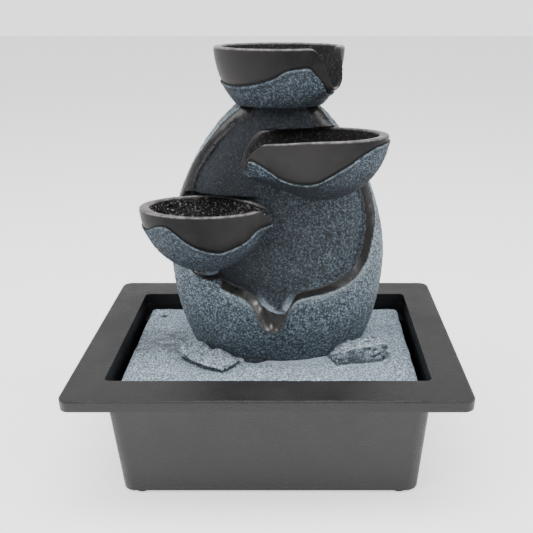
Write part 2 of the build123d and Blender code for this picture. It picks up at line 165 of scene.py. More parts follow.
def sample_outline(points, closed=True, per_span=10):
    """Smooth curve through a few points."""
    p = np.array(points, float)
    n = len(p)
    out = []
    for i in range(n if closed else n - 1):
        a, b = p[i], p[(i + 1) % n]
        before = p[i - 1] if closed or i else a
        after = p[(i + 2) % n] if closed or i + 2 < n else b
        for s in np.arange(per_span) / per_span:
            out.append(0.5 * ((2 * a) + (b - before) * s
                              + (2 * before - 5 * a + 4 * b - after) * s ** 2
                              + (3 * a - before - 3 * b + after) * s ** 3))
    if not closed:
        out.append(p[-1])
    return np.array(out)


class OutlineField:
    """Signed distance to a closed outline in a plane, positive inside, kept on a grid."""

    def __init__(self, points, low, high, step=0.6):
        self.low = np.array(low, float)
        self.step = step
        size = np.ceil((np.array(high) - self.low) / step).astype(int) + 2
        gx, gz = np.meshgrid(*[self.low[i] + step * np.arange(size[i]) for i in (0, 1)],
                             indexing="ij")
        best = np.full(gx.shape, 1e9)
        inside = np.zeros(gx.shape, bool)
        following = np.roll(points, -1, axis=0)
        for (ax, az), (bx, bz) in zip(points, following):
            ex, ez = bx - ax, bz - az
            t = np.clip(((gx - ax) * ex + (gz - az) * ez) / (ex * ex + ez * ez + 1e-12), 0, 1)
            best = np.minimum(best, (gx - ax - t * ex) ** 2 + (gz - az - t * ez) ** 2)
            if az != bz:
                crosses = (az > gz) != (bz > gz)
                inside ^= crosses & (gx < ax + (gz - az) * ex / ez)
        self.values = np.sqrt(best) * np.where(inside, 1, -1)

    def __call__(self, x, z):
        limit = np.array(self.values.shape) - 1.001
        u = np.clip((x - self.low[0]) / self.step, 0, limit[0])
        w = np.clip((z - self.low[1]) / self.step, 0, limit[1])
        i, k = u.astype(int), w.astype(int)
        fu, fw = u - i, w - k
        v = self.values
        return ((v[i, k] * (1 - fu) + v[i + 1, k] * fu) * (1 - fw)
                + (v[i, k + 1] * (1 - fu) + v[i + 1, k + 1] * fu) * fw)


# ================ field to mesh
def surface_nets(field, low, step):
    """Points and quads of the zero surface of a field on a regular grid."""
    cells = tuple(np.array(field.shape) - 1)
    total = np.zeros(cells + (3,))
    count = np.zeros(cells)
    for axis in range(3):
        others = [a for a in range(3) if a != axis]
        for i in (0, 1):
            for j in (0, 1):
                start = [0, 0, 0]
                start[others[0]], start[others[1]] = i, j
                end = list(start)
                end[axis] = 1
                a = field[tuple(slice(s, s + c) for s, c in zip(start, cells))]
                b = field[tuple(slice(s, s + c) for s, c in zip(end, cells))]
                cut = (a < 0) != (b < 0)
                t = np.where(cut, a / np.where(cut, a - b, 1), 0)
                total[..., axis] += t
                total[..., others[0]] += cut * i
                total[..., others[1]] += cut * j
                count += cut
    used = count > 0
    index = np.full(cells, -1)
    index[used] = np.arange(used.sum())
    corner = np.argwhere(used)
    points = (corner + total[used] / count[used][:, None]) * step + np.array(low)
    quads = []
    for axis in range(3):
        u, w = (axis + 1) % 3, (axis + 2) % 3
        span = [slice(None)] * 3
        span[u] = slice(1, field.shape[u] - 1)
        span[w] = slice(1, field.shape[w] - 1)
        lower, upper = list(span), list(span)
        lower[axis] = slice(0, field.shape[axis] - 1)
        upper[axis] = slice(1, field.shape[axis])
        a, b = field[tuple(lower)], field[tuple(upper)]
        for sign in (True, False):
            cut = ((a < 0) & (b >= 0)) if sign else ((a >= 0) & (b < 0))
            at = np.argwhere(cut)
            at[:, u] += 1
            at[:, w] += 1
            ring = []
            for du, dw in ((-1, -1), (0, -1), (0, 0), (-1, 0)):
                c = at.copy()
                c[:, u] += du
                c[:, w] += dw
                ring.append(index[c[:, 0], c[:, 1], c[:, 2]])
            ring = np.stack(ring, 1)
            quads.append(ring if sign else ring[:, ::-1])
    return points, np.concatenate(quads)


def settle(points, solid, rounds=2):
    """Moves the points onto the exact surface of the solid."""
    e = 0.05
    for _ in range(rounds):
        x, y, z = points.T
        d = solid(x, y, z)
        slope = np.stack([solid(x + e, y, z) - d, solid(x, y + e, z) - d,
                          solid(x, y, z + e) - d], 1) / e
        size2 = (slope ** 2).sum(1) + 1e-6
        move = -(d / size2)[:, None] * slope
        length = np.linalg.norm(move, axis=1, keepdims=True)
        points = points + move * np.minimum(1, 0.5 / (length + 1e-9))
    return points


def field_mesh(name, solid, low, high, step, marks=None, relief=None):
    """Mesh of a solid field, with named surface marks stored on its points."""
    low = np.array(low, float)
    axes = [np.arange(low[i], high[i] + step, step) for i in range(3)]
    x, y, z = np.meshgrid(*axes, indexing="ij")
    points, quads = surface_nets(solid(x, y, z), low, step)
    points = settle(points, solid)
    mesh = bpy.data.meshes.new(name)
    mesh.vertices.add(len(points))
    mesh.loops.add(quads.size)
    mesh.polygons.add(len(quads))
    mesh.vertices.foreach_set("co", (points * MM).astype(np.float32).ravel())
    mesh.loops.foreach_set("vertex_index", quads.astype(np.int32).ravel())
    mesh.polygons.foreach_set("loop_start", np.arange(0, quads.size, 4, dtype=np.int32))
    mesh.update(calc_edges=True)
    mesh.validate()
    mesh.shade_smooth()
    if relief is not None:
        normals = np.zeros(len(points) * 3, np.float32)
        mesh.vertices.foreach_get("normal", normals)
        moved = points + normals.reshape(-1, 3) * relief(*points.T)[:, None]
        mesh.vertices.foreach_set("co", (moved * MM).astype(np.float32).ravel())
        mesh.update()
    if marks is not None:
        for label, values in marks(*points.T).items():
            layer = mesh.attributes.new(label, "FLOAT", "POINT")
            layer.data.foreach_set("value", np.asarray(values, np.float32))
    piece = bpy.data.objects.new(name, mesh)
    bpy.context.scene.collection.objects.link(piece)
    return piece


def upward(solid, x, y, z, e=0.3):
    """How much a surface faces up, from -1 to 1."""
    d = solid(x, y, z)
    slope = [solid(x + e, y, z) - d, solid(x, y + e, z) - d, solid(x, y, z + e) - d]
    return slope[2] / np.sqrt(sum(v * v for v in slope) + 1e-9)


# ================ bowls
class Bowl:
    """Oval bowl with a pouring beak and a stone skin that ends in a wavy edge.

    Directions around the bowl are in degrees from +X.  The beak is a notch in the rim
    that pushes the outline out; beak_line gives its depth, as a share, at angles from
    its tip.  wave gives how far the skin's edge lies below the rim, and sheen how much
    painted sheen the glaze gets, around the bowl.  low is the height of the bowl's
    underside, flat_floor that of its floor, and the beak hangs clear of the body to the
    left of free_beak.
    """

    def __init__(self, center, radii, wall, beak_at, beak_line, beak_out, beak_drop, wave,
                 sheen, low, inner_shift=(0.0, 0.0), back_taper=0.0, rough_inside=0.0,
                 edge_highlight=0.6, flat_floor=None, free_beak=None, seed=1):
        self.center = center
        self.radii = radii
        self.wall = wall
        self.beak_at = beak_at
        self.beak_angles, self.beak_shares = sample_outline(beak_line, closed=False).T
        self.beak_out = beak_out
        self.beak_drop = beak_drop
        self.sheen = np.array(sheen, float).T
        self.low = low
        self.inner_shift = inner_shift
        self.back_taper = back_taper
        self.edge_highlight = edge_highlight
        self.rough_inside = rough_inside
        self.flat_floor = flat_floor
        self.free_beak = free_beak
        self.seed = seed
        turns = [(angle + turn, drop) for turn in (-360, 0, 360) for angle, drop in wave]
        self.wave_angles, self.wave_drops = sample_outline(turns, closed=False).T

    def angle(self, x, y):
        return np.degrees(np.arctan2((y - self.center[1]) / self.radii[1],
                                     (x - self.center[0]) / self.radii[0]))

    def beak(self, angle):
        """1 at the tip of the beak, 0 outside it."""
        away = (angle - self.beak_at + 180) % 360 - 180
        return np.clip(np.interp(away, self.beak_angles, self.beak_shares), 0, 1)

    def shell(self, x, y, z, radii, shift):
        cx, cy, cz = self.center
        reach = ramp(cz - z, self.beak_drop + 11, self.beak_drop - 1)
        spread = 1 + self.beak_out * self.beak(self.angle(x, y)) * reach
        taper = 1 - self.back_taper * ramp((x - cx) / radii[0], 0.1, 0.95) * (y > cy)
        p = (x - cx - shift[0]) / (radii[0] * spread)
        q = (y - cy - shift[1]) / (radii[1] * spread * taper)
        r = np.minimum(z - cz, 0) / radii[2]
        k0 = np.sqrt(p * p + q * q + r * r) + 1e-9
        k1 = np.sqrt((p / radii[0]) ** 2 + (q / radii[1]) ** 2 + (r / radii[2]) ** 2) + 1e-9
        return k0 * (k0 - 1) / k1

    def outer(self, x, y, z):
        return self.shell(x, y, z, self.radii, (0, 0))

    def inner(self, x, y, z):
        """The hollow: an ellipsoid that runs out into a thin-walled beak."""
        radii = [r - w for r, w in zip(self.radii, self.wall)]
        hollow = self.shell(x, y, z, radii, self.inner_shift)
        if self.flat_floor:
            hollow = smooth_max(hollow, self.flat_floor - z, 2.0)
        beak = self.beak(self.angle(x, y))
        wall = 1.7 + 5.0 * ramp(beak, 0.30, 0.02)
        floor = self.center[2] - self.beak_drop - 0.6 + 5.0 * ramp(beak, 0.9, 0.1)
        channel = smooth_max(self.outer(x, y, z) + wall, floor - z, 1.5)
        return smooth_min(hollow, channel, 1.5)

    def rim(self, x, y):
        """Height of the rim around the bowl."""
        return self.center[2] - self.beak_drop * self.beak(self.angle(x, y))

    def below_wave(self, x, y, z):
        """Distance below the wavy edge of the stone skin."""
        line = np.interp(self.angle(x, y), self.wave_angles, self.wave_drops)
        return self.center[2] - line - z

    def solid(self, x, y, z):
        below = self.below_wave(x, y, z)
        thick = 0.40 + 0.40 * np.exp(-(np.clip(below - 0.6, 0, None) / 1.6) ** 2)
        groove = 0.45 * np.exp(-((below + 0.7) / 0.7) ** 2)
        outer = self.outer(x, y, z) - thick * ramp(below, -0.25, 0.35) + groove
        inner = self.inner(x, y, z)
        if self.rough_inside:
            inner = inner + self.rough_inside * grit(x, y, z, 1.9, self.seed)
        d = smooth_max(outer, -inner, 0.9)
        d = smooth_max(d, z - self.rim(x, y), 1.2)
        return smooth_max(d, self.low - z, 1.0)

    def marks(self, x, y, z):
        outside = self.outer(x, y, z) > -1.4
        below = self.below_wave(x, y, z)
        stone = np.where(outside, ramp(below, -0.3, 0.1), 0)
        # Painted highlight along the stone skin's upper edge, with painted shade in the groove just
        # above it
        edge = np.where(outside, self.edge_highlight * np.exp(-((below - 0.28) / 0.38) ** 2), 0)
        groove = np.where(outside, np.exp(-((below + 0.75) / 0.65) ** 2), 0)
        inside = ramp(-self.inner(x, y, z), -1.0, 0.2) * (z < self.rim(x, y) - 1.0)
        angle = self.angle(x, y)
        # Painted highlight along the rim, fainter where the rim drops steeply
        steep = np.hypot(self.rim(x + 0.5, y) - self.rim(x - 0.5, y),
                         self.rim(x, y + 0.5) - self.rim(x, y - 0.5))
        rim = np.exp(-((z - self.rim(x, y) + 0.30) / 0.45) ** 2) / (1 + (1.8 * steep) ** 2)
        # Painted shade on faces that turn down
        under = ramp(upward(self.solid, x, y, z), -0.15, -0.65)
        # Painted sheen on the glaze, by direction around the bowl
        sheen = np.interp(angle, *self.sheen, period=360)
        return {"stone": stone, "edge": edge, "groove": groove, "inside": inside,
                "rim": rim, "under": under, "sheen": sheen}

    def relief(self, x, y, z):
        stone = ramp(self.below_wave(x, y, z), -0.3, 0.1) * (self.outer(x, y, z) > -1.4)
        return stone * 0.20 * grit(x, y, z, 1.25, self.seed + 5)

    def mesh(self, name):
        spread = 1 + self.beak_out
        low = [self.center[i] - self.radii[i] * spread - 3 for i in (0, 1)] + [self.low - 3]
        high = [self.center[i] + self.radii[i] * spread + 3 for i in (0, 1)]
        return field_mesh(name, self.solid, low, high + [self.center[2] + 3], BOWL_GRID,
                          self.marks, self.relief)


TOP_BOWL = Bowl(
    center=(6.5, 10.0, 253.2), radii=(36.0, 23.9, 41.5), wall=(4.2, 2.4, 6.0),
    beak_at=-42, beak_out=0.27, beak_drop=20.0, low=222.0, edge_highlight=0.35, flat_floor=227.9, seed=11,
    beak_line=[(-30, 0), (-20, 0), (-16, 0.03), (-12.8, 0.14), (-10.4, 0.36), (-7.3, 0.60),
               (-3.6, 0.82), (-0.5, 0.96), (3, 1), (7, 0.96), (10.5, 0.78), (13.5, 0.44),
               (16.5, 0.12), (20, 0), (30, 0)],
    wave=[(-172, 18.4), (-158, 19.5), (-144, 19.9), (-125, 19.5), (-109, 17.8), (-94, 15.1),
          (-83, 11.5), (-69, 10.1), (-61, 10.6), (-54, 15), (-44, 23), (-30, 22.5), (-10, 17),
          (20, 14), (60, 17), (100, 13), (140, 14), (165, 17)],
    sheen=[(-180, 0.9), (-140, 0.8), (-112, 0.4), (-90, 0.1), (-60, 0.0), (-30, 0.2),
           (40, 0.5)])
RIGHT_BOWL = Bowl(
    center=(29.5, -12.0, 209.6), radii=(37.0, 21.0, 36.5), wall=(4.2, 2.2, 5.5),
    beak_at=-169, beak_out=0.46, beak_drop=22.0, low=170.0, edge_highlight=0.65, free_beak=-8.0, seed=21,
    inner_shift=(-1.2, 0.2),
    beak_line=[(-44, 0), (-31, 0), (-24, 0.10), (-18, 0.30), (-11, 0.62), (-5, 0.90), (0, 1),
               (3, 0.86), (6, 0.67), (9.5, 0.53), (13.8, 0.40), (18.7, 0.27), (22, 0.20),
               (27.3, 0.125), (48, 0.065), (63, 0.02), (80, 0), (90, 0)],
    wave=[(-177, 27), (-171, 25), (-166, 20.5), (-161.6, 17.0), (-157, 13.0), (-150, 15.0),
          (-146, 17.1),
          (-136, 21.6), (-123, 23.9), (-107, 24.5), (-93, 23.1), (-83, 19.9), (-74, 16.5),
          (-64.5, 13.0), (-55.6, 9.0), (-45, 6.2), (-34, 4.4),
          (0, 3.0), (30, 4), (60, 6), (90, 8), (130, 12), (160, 20), (176, 23)],
    sheen=[(-170, 0.5), (-130, 0.55), (-105, 0.65), (-80, 0.45), (-55, 0.1), (0, 0.2),
           (90, 0.4)])
LEFT_BOWL = Bowl(
    center=(-36.4, -16.5, 170.5), radii=(35.9, 21.5, 38.5), wall=(5.0, 2.4, 14.0),
    beak_at=-7, beak_out=0.14, beak_drop=8.2, low=126.0, seed=31, inner_shift=(1.2, 0.3),
    back_taper=0.40, rough_inside=0.55, edge_highlight=0.5,
    beak_line=[(-40, 0), (-23, 0), (-18, 0.07), (-13.8, 0.27), (-6.1, 0.72), (0, 1),
               (5, 0.8), (12, 0.45), (20, 0.2), (34, 0.03), (45, 0), (60, 0)],
    wave=[(-175, 10), (-160, 11.5), (-148, 10.5), (-129, 6.9), (-118, 7.8), (-105, 14.4),
          (-92, 19.3), (-72, 22.3), (-55, 20.1), (-39, 16.4), (-27, 11.6), (-10, 10.2),
          (10, 10), (40, 9), (90, 9), (140, 8)],
    sheen=[(-180, 0.5), (-150, 0.5), (-120, 0.15), (-90, 0.0), (-65, 0.3), (-45, 0.4),
           (-20, 0.25), (90, 0.3)])
SIDE_BOWLS = (RIGHT_BOWL, LEFT_BOWL)


# ================ sculpture body
BAND_OUTER = [(-9, 229), (-16.1, 220.4), (-20.5, 217.1), (-25.3, 213.1), (-29.7, 208.3),
              (-35.7, 200.9), (-39.4, 196.1), (-42.8, 191.2), (-48.6, 180.8), (-53, 170),
              (-55, 158), (-54, 145), (-49, 133), (-41, 126), (-33, 124), (-23.5, 120),
              (-15, 117), (-10.3, 113), (-7.4, 108.5), (-5.6, 104), (-3.6, 100.4),
              (-0.8, 97.8), (2.3, 97), (5.4, 97.9), (7.6, 101), (9.5, 106), (12, 111.5),
              (17.5, 117), (32, 119), (41, 121), (48, 124), (54, 129.5), (58.5, 137),
              (61.8, 150), (62.3, 162), (59.5, 174), (53, 187), (45, 199), (37.5, 210),
              (30.5, 219), (25, 229)]
BAND_INNER = [(-4, 229), (-9, 217.5), (-13.5, 214.6), (-16.5, 213.2), (-20.5, 210.2),
              (-24.6, 206.1), (-28.7, 202.4), (-32.2, 197.6), (-36.5, 192), (-39.3, 187.4),
              (-42, 183.3), (-45, 174), (-46, 160), (-45, 148), (-41, 136), (-34, 129),
              (-29, 126.5), (-22, 123.4), (-14, 120.5), (-9.5, 118), (-6.6, 115), (-3.6, 112),
              (0, 109.3), (3.3, 108), (6.5, 107.9), (9.3, 109.4), (12, 113), (17.5, 119.5),
              (28, 121), (36, 123), (43, 126), (48.5, 130), (53.5, 139), (56, 150), (56, 160),
              (53.5, 172), (47, 186), (37, 199), (28, 210), (22, 219), (17, 229)]
FIELD_LOW = (-75.0, 68.0)
FIELD_HIGH = (80.0, 232.0)
outer_line = OutlineField(sample_outline(BAND_OUTER), FIELD_LOW, FIELD_HIGH)
inner_line = OutlineField(sample_outline(BAND_INNER), FIELD_LOW, FIELD_HIGH)


def egg_half_width(z):
    rise = z - WIDEST_Z
    up = np.clip(rise, 0, None) / CROWN_HEIGHT
    above = HALF_WIDTH * np.clip(1 - up ** CROWN_POWER, 1e-3, 1) ** CROWN_ROUND
    below = HALF_WIDTH * np.sqrt(np.clip(1 - (rise / FOOT_DEPTH) ** 2, 1e-3, 1))
    return np.where(rise > 0, above, below)


def egg(x, y, z):
    """Approximate distance to the full egg, before it is scooped."""
    a = egg_half_width(z)
    b = a * np.where(y < BODY_Y, FRONT_RATIO, BACK_RATIO)
    lean = LEAN * (np.clip(z - LEAN_FROM_Z, 0, None) / (BODY_TOP - LEAN_FROM_Z)) ** 2
    u, v = (x - BODY_X - lean) / a, (y - BODY_Y) / b
    k0 = np.sqrt(u * u + v * v) + 1e-9
    k1 = np.sqrt((u / a) ** 2 + (v / b) ** 2) + 1e-9
    slope = (egg_half_width(z + 0.5) - egg_half_width(z - 0.5)) * 0.8
    return k0 * (k0 - 1) / k1 / np.sqrt(1 + slope * slope)


def band_share(x, z):
    """0 at the outer side of the smooth cut edge, 1 where the textured floor starts."""
    out = outer_line(x, z)
    into = inner_line(x, z)
    return np.clip(out / np.maximum(out - into, 0.5), 0, 1)


def spout_share(x, z):
    """1 in the pouring V at the bottom of the scoop, 0 away from it."""
    return ramp(np.abs(x - SPOUT_X), 17, 9) * ramp(z, 119, 110)


def scoop_depth(x, z):
    """How far the scooped front lies behind the egg's surface."""
    out = outer_line(x, z)
    into = inner_line(x, z)
    in_spout = spout_share(x, z)
    near_neck = ramp(z, 226, 190)
    band = BAND_DEPTH * (0.45 + 0.55 * near_neck) * band_share(x, z)
    step = FLOOR_STEP * ramp(into, 0, 1.4) * near_neck
    middle = 4.0 * ramp(into, 4, 30) * ramp(z, 112, 150) * near_neck
    scoop = band + step + middle
    trough = 5.2 * (1 - np.exp(-np.clip(out, 0, None) / 3.0))
    shelf = trough - 1.3 * ramp(into, -0.2, 0.5) + 6.5 * ramp(into, 0.8, 8.5)
    lip = SPOUT_REACH * ramp(z, 122, 98) * ramp(out, -2.4, -0.4)
    return scoop * (1 - in_spout) + shelf * in_spout - lip * ramp(np.abs(x - SPOUT_X), 26, 14)


def recess_room(bowl, x, y, z):
    """Space inside a side bowl that the body must leave free, up to the rim."""
    radii = [r - w + 1.4 for r, w in zip(bowl.radii, bowl.wall)]
    hollow = bowl.shell(x, y, z, radii, bowl.inner_shift)
    room = smooth_max(hollow, z - bowl.center[2] - 0.4, 1.0)
    if bowl.free_beak:
        room = smooth_max(room, bowl.free_beak - x, 1.0)
    if bowl.back_taper:
        gap = smooth_max(bowl.outer(x, y, z) - 1.1, z - bowl.center[2] - 2.2, 0.8)
        room = np.minimum(room, smooth_max(gap, bowl.center[2] - 1.6 - z, 0.4))
    return room


def body_solid(x, y, z):
    """The egg with its scoop, the roots of the side bowls, and the small details."""
    scooped = egg(x, y - scoop_depth(x, z), z)
    d = np.where(y < BODY_Y + 10, scooped, egg(x, y, z))
    seam = np.exp(-((z - SEAM_Z - 0.05 * (x + 60)) / 0.6) ** 2) * ramp(x, -44, -48)
    d = d + 0.8 * seam * ramp(y, 22, 8)
    for bowl in SIDE_BOWLS:
        support = bowl.outer(x, y, z) + 1.2
        support = smooth_max(support, z - bowl.center[2] + 4, 2.0)
        if bowl.free_beak:
            support = smooth_max(support, bowl.free_beak - x, 6.0)
        d = smooth_min(d, support, 7.0)
        d = smooth_max(d, -recess_room(bowl, x, y, z), 0.8)
    ledge = ellipsoid(x, y, z, LEDGE, (7.5, 6.0, 2.6))
    d = smooth_min(d, ledge, 1.0)
    notch = ellipsoid(x, y, z, NOTCH, (7.5, 9.0, 2.3))
    d = smooth_max(d, -notch, 0.6)
    slit = ellipsoid(x, y, z, SLIT, (3.4, 4.0, 0.5))
    d = smooth_max(d, -slit, 0.3)
    tab = ellipsoid(x, y, z, TAB, (8.0, 4.2, 3.0))
    d = smooth_min(d, tab, 0.8)
    d = smooth_max(d, z - BODY_TOP, 1.0)
    return smooth_max(d, PLATE_TOP - z, 0.4)


# painted glints on the glaze of the pouring V: place, half width, half height
GLINTS = [(-7.9, 114.0, 1.0, 0.7), (-5.4, 110.8, 0.6, 0.9), (1.0, 100.4, 0.6, 1.1),
          (-1.6, 99.2, 0.9, 0.5), (12.0, 110.5, 0.5, 1.1)]


def body_marks(x, y, z):
    """Where the body is smooth glaze, textured floor or pale, and where painted highlights, glints
    and shade go, from 0 to 1 each.
    """
    front = (y < BODY_Y + 2) & (z < 224)
    share = band_share(x, z)
    into = inner_line(x, z)
    out = outer_line(x, z)
    hidden = ramp(z, 129, 127) * ramp(x, -27.5, -30) * ramp(x, -47, -44)
    band = ramp(share, 0.0, 0.06) * ramp(-into, -0.2, 0.4) * front * ramp(out, -0.3, 0.2)
    in_spout = spout_share(x, z)
    # Painted highlight: a thin pale line along the cut edge and, lower down, a broad glow on the
    # shell beside it
    line = 0.6 * np.exp(-((out + 0.4) / 0.45) ** 2) * (1 - 0.85 * in_spout)
    glow = 0.55 * np.exp(-((out + 0.5) / 3.2) ** 2) * (out < 0.3) * ramp(z, 150, 125)
    # Painted shadow under the raised lips of the V
    outline = np.exp(-((out + 0.5) / 0.7) ** 2) * in_spout * ramp(z, 112, 104)
    # Pale shelves at the top of the V and under the left bowl; a painted highlight runs along the
    # textured skin's edge in the V
    shelf = ramp(into, 3.4, 1.8) * ramp(into, -0.4, 0.4) * in_spout
    wear_and_highlight = np.exp(-((into - 0.3) / 0.4) ** 2) * in_spout
    ledge = ((x - LEDGE[0]) / 7.2) ** 2 + ((z - LEDGE[2] - 0.4) / 2.4) ** 2
    light = np.clip(0.8 * shelf + wear_and_highlight + 0.3 * ramp(ledge, 1.1, 0.7) * (y < -14), 0, 1)
    # Painted shade: black in the notch and the slit and a dark line along the cut's inner edge; the
    # foot tab is darker too
    slot = ((x - NOTCH[0]) / 7.4) ** 2 + ((z - NOTCH[2]) / 2.3) ** 2
    slit = ((x - SLIT[0]) / 3.6) ** 2 + ((z - SLIT[2]) / 0.8) ** 2
    tab = ramp(((x - TAB[0]) / 8.6) ** 2, 1.0, 0.8) * ramp(z, PLATE_TOP + 3.4, PLATE_TOP + 2.4)
    cut = 0.8 * np.exp(-((into - 0.5) / 0.7) ** 2) * ramp(x, 20, -5) * (1 - in_spout)
    dark = np.clip(cut + ramp(slot, 1.3, 0.8) + 0.8 * ramp(slit, 1.4, 0.8) + 0.8 * outline
                   + 0.7 * tab, 0, 1) * front
    # Painted highlight along the raised lips of the V
    bead = np.exp(-((share - 0.18) / 0.10) ** 2) * in_spout * ramp(z, 116, 112)
    # Painted glints
    glint = sum(np.exp(-((x - px) / wide) ** 2 - ((z - pz) / tall) ** 2)
                for px, pz, wide, tall in GLINTS) * (y < -10)
    return {"band": band * (1 - hidden), "floor": ramp(into, -1.2, -0.6) * front * (1 - light),
            "edge": (line + glow * (1 - in_spout)) * front * (1 - hidden),
            "light": light * front, "dark": dark, "bead": bead * band,
            "glint": np.clip(glint, 0, 1) * band}


def body_relief(x, y, z):
    marks = body_marks(x, y, z)
    rough = 1 - 0.93 * marks["band"]
    return rough * 0.38 * grit(x, y, z, 2.1, 41)


def make_body():
    low = (BODY_X - HALF_WIDTH - 4, -38.0, PLATE_TOP - 1.5)
    high = (BODY_X + HALF_WIDTH + 4, BODY_Y + HALF_WIDTH * BACK_RATIO + 4, BODY_TOP + 2)
    return field_mesh("cast_body", body_solid, low, high, BODY_GRID, body_marks, body_relief)


# ================ stones and plate
STONE_LEFT = [(-57.5, -16), (-54, -10.5), (-47.5, -7.5), (-41.5, -9), (-37, -14.5),
              (-30.5, -16), (-25, -14.5), (-19, -17.5), (-17.8, -22), (-21, -28.6),
              (-27.8, -36.3), (-36, -33), (-45, -28), (-52.5, -22)]
STONE_RIGHT = [(34.5, -17), (38.5, -12), (46, -7.5), (55, -7), (64, -4.5), (70, -8),
               (73.5, -14), (70.5, -24), (63.5, -27), (50, -25), (45.5, -28.5), (40, -29),
               (37, -23)]


def make_stone(name, outline, top, tilt, cuts, undercut, shade, seed):
    """Broken stone on the plate: a slab with a tilted top, undercut sides and flat chips.

    cuts are planes, each a point and its outward normal; shade is how dark the painted shade on the
    front gets.
    """
    points = np.array(outline, float)
    low, high = points.min(0) - 4, points.max(0) + 4
    plan = OutlineField(points, low, high, 0.4)
    middle = points.mean(0)

    def solid(x, y, z):
        rise = z - PLATE_TOP
        side = -plan(x, y) + 0.22 * np.clip(rise - 3.2, 0, None)
        side = side + undercut * ramp(rise, 3.4, 0.8)
        roof = z - top - tilt[0] * (x - middle[0]) - tilt[1] * (y - middle[1])
        d = smooth_max(side, 0.95 * roof, 0.9)
        for point, normal in cuts:
            n = np.array(normal) / np.linalg.norm(normal)
            plane = (x - point[0]) * n[0] + (y - point[1]) * n[1] + (z - point[2]) * n[2]
            d = smooth_max(d, plane, 0.4)
        chips = np.abs(lattice_noise(x, y, z, 4.6, seed)) - 0.3
        d = d + 1.5 * chips + 0.45 * lattice_noise(x, y, z, 2.1, seed + 2)
        return smooth_max(d, PLATE_TOP - 0.6 - z, 0.3)

    def marks(x, y, z):
        e = 0.5
        # Painted shade on faces that do not turn up, low down near the plate and on the front
        side = ramp(upward(solid, x, y, z, e), 0.45, -0.05)
        front = ramp(solid(x, y - e, z) - solid(x, y, z), 0.30 * e, 0.55 * e)
        front = front * np.clip(0.8 + 0.7 * lattice_noise(x, y, z, 3.5, seed + 4), 0, 1)
        low_down = ramp(z, PLATE_TOP + 2.2, PLATE_TOP + 0.4)
        return {"rock_shade": np.clip(0.6 * side + low_down + shade * front, 0, 1)}

    def relief(x, y, z):
        return 0.20 * grit(x, y, z, 1.5, seed + 9)

    return field_mesh(name, solid, (*low, PLATE_TOP - 1.5), (*high, top + 8), STONE_GRID,
                      marks, relief)


def plate_solid(x, y, z):
    """Uneven slab with drain slots at the back and a hole under the body."""
    half = (PLATE_HIGH - PLATE_LOW) / 2
    middle = (PLATE_HIGH + PLATE_LOW) / 2
    qx = np.abs(x - middle[0]) - half[0] + PLATE_CORNER
    qy = np.abs(y - middle[1]) - half[1] + PLATE_CORNER
    flat = (np.sqrt(np.clip(qx, 0, None) ** 2 + np.clip(qy, 0, None) ** 2)
            + np.minimum(np.maximum(qx, qy), 0) - PLATE_CORNER)
    flat = flat + 0.5 + 0.35 * lattice_noise(x, y, z * 0, 9.0, 61)
    top = PLATE_TOP - 0.35 + 0.25 * lattice_noise(x, y, z * 0, 7.0, 62)
    top = top + 0.9 * ramp(egg(x, y, PLATE_TOP + z * 0), 3.5, 0.4)
    d = smooth_max(flat, z - top, 1.2)
    for k in range(DRAIN_SLOTS):
        along = x - DRAIN_PITCH * (k - (DRAIN_SLOTS - 1) / 2)
        past_end = np.clip(np.abs(along) - DRAIN_HALF, 0, None)
        slot = np.sqrt(past_end ** 2 + (y - DRAIN_Y) ** 2) - DRAIN_R
        d = smooth_max(d, -slot, 0.6)
    opening = ellipsoid(x, y, z * 0, (BODY_X, BODY_Y, 0), (*PLATE_OPENING, 60))
    d = smooth_max(d, -opening, 0.5)
    pit = ellipsoid(x, y, z, (*PIT, PLATE_TOP), (2.4, 1.7, 1.8))
    d = smooth_max(d, -pit, 0.4)
    return smooth_max(d, PLATE_LOW[2] - z, 0.6)


def plate_marks(x, y, z):
    wear_and_highlight = ramp(x, -48, -60) * ramp(y, -10, -9) * ramp(y, 24, 16)
    pit = np.exp(-(((x - PIT[0]) / 2.6) ** 2 + ((y - PIT[1]) / 1.9) ** 2) ** 2)
    skirt = ramp(egg(x, y, PLATE_TOP + z * 0), 5.0, 1.0) * (y < 5)
    return {"streak": wear_and_highlight, "pit": pit, "light": skirt}


def plate_relief(x, y, z):
    return 0.20 * grit(x, y, z, 1.8, 63) * ramp(z, PLATE_LOW[2] + 1, PLATE_TOP - 2)


# ================ feet
def feet_solid(x, y, z):
    """Four domed rubber pads under the corners of the basin."""
    px = np.abs(x) - FOOT_X
    py = np.abs(y) - FOOT_Y
    d = ellipsoid(px, py, z, (0, 0, 2.2), (FOOT_R, FOOT_R, 2.6))
    d = smooth_max(d, 0.05 - z, 0.5)
    return smooth_max(d, z - 1.95, 0.2)


# ================ materials
# Middle tones of the stones, then the glaze from its darkest, through its painted sheen, to the
# painted highlight on its rim
STONE_TONE = (0.066, 0.088, 0.112)
FLOOR_TONE = (0.017, 0.023, 0.032)
SHELL_TONE = (0.104, 0.138, 0.168)
ROCK_TONE = (0.265, 0.325, 0.378)
PLATE_TONE = (0.225, 0.280, 0.328)
# Pale colour for the painted highlight along the bowls' stone-skin edge and along the body's cut
# edge
PALE_EDGE = (0.36, 0.44, 0.48)
GLAZE_DARK = (0.0045, 0.0042, 0.0046)
GLAZE_LIGHT = (0.0120, 0.0110, 0.0112)
GLAZE_SHEEN = (0.0440, 0.0415, 0.0410)
GLAZE_RIM_HIGHLIGHT = (0.22, 0.21, 0.205)


